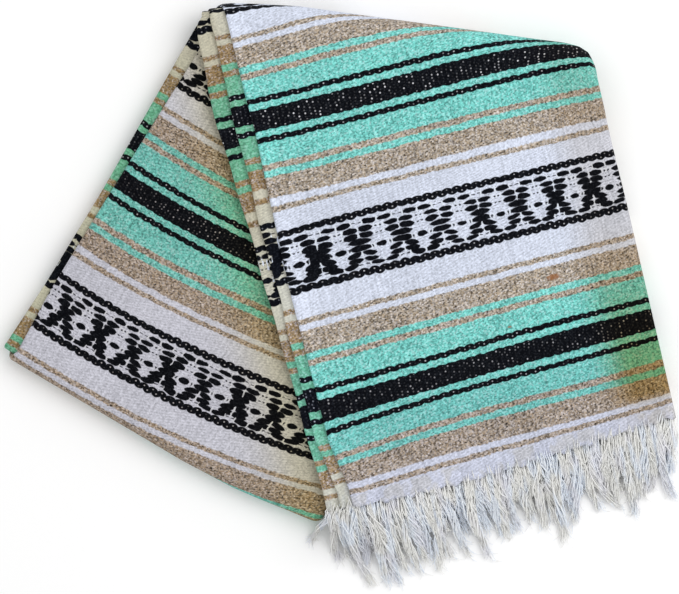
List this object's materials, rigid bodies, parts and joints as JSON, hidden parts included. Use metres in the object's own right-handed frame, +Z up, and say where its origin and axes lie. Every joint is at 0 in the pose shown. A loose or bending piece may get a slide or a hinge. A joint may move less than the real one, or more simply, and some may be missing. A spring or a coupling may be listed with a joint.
{
  "type": "folded mexican blanket",
  "caption": "Striped woven falsa blanket with fringed ends, folded into a narrow strip and laid over itself in a slanting V.",
  "frame": {"origin": "on the ground under the blanket, in the flat underside near the middle of its outline", "axes": "+Z up from the ground; +Y towards the slanting fold; the fringed end points to -Y"},
  "size_m": [0.6736, 0.5915, 0.052],
  "materials": {
    "striped_cloth": "thick plain-woven cotton and acrylic, matt, in mint, tan, white and black stripes",
    "folded_edges": "the same striped cloth, seen at its folded edges",
    "fringe_yarn": "loose twisted white cotton yarn, matt"
  },
  "bodies": {
    "root": {"front_flap_cloth": "striped_cloth", "back_flap_cloth": "striped_cloth", "folded_layers": "folded_edges", "fringe_upper": "fringe_yarn", "fringe_lower": "fringe_yarn"}
  },
  "joints": []
}
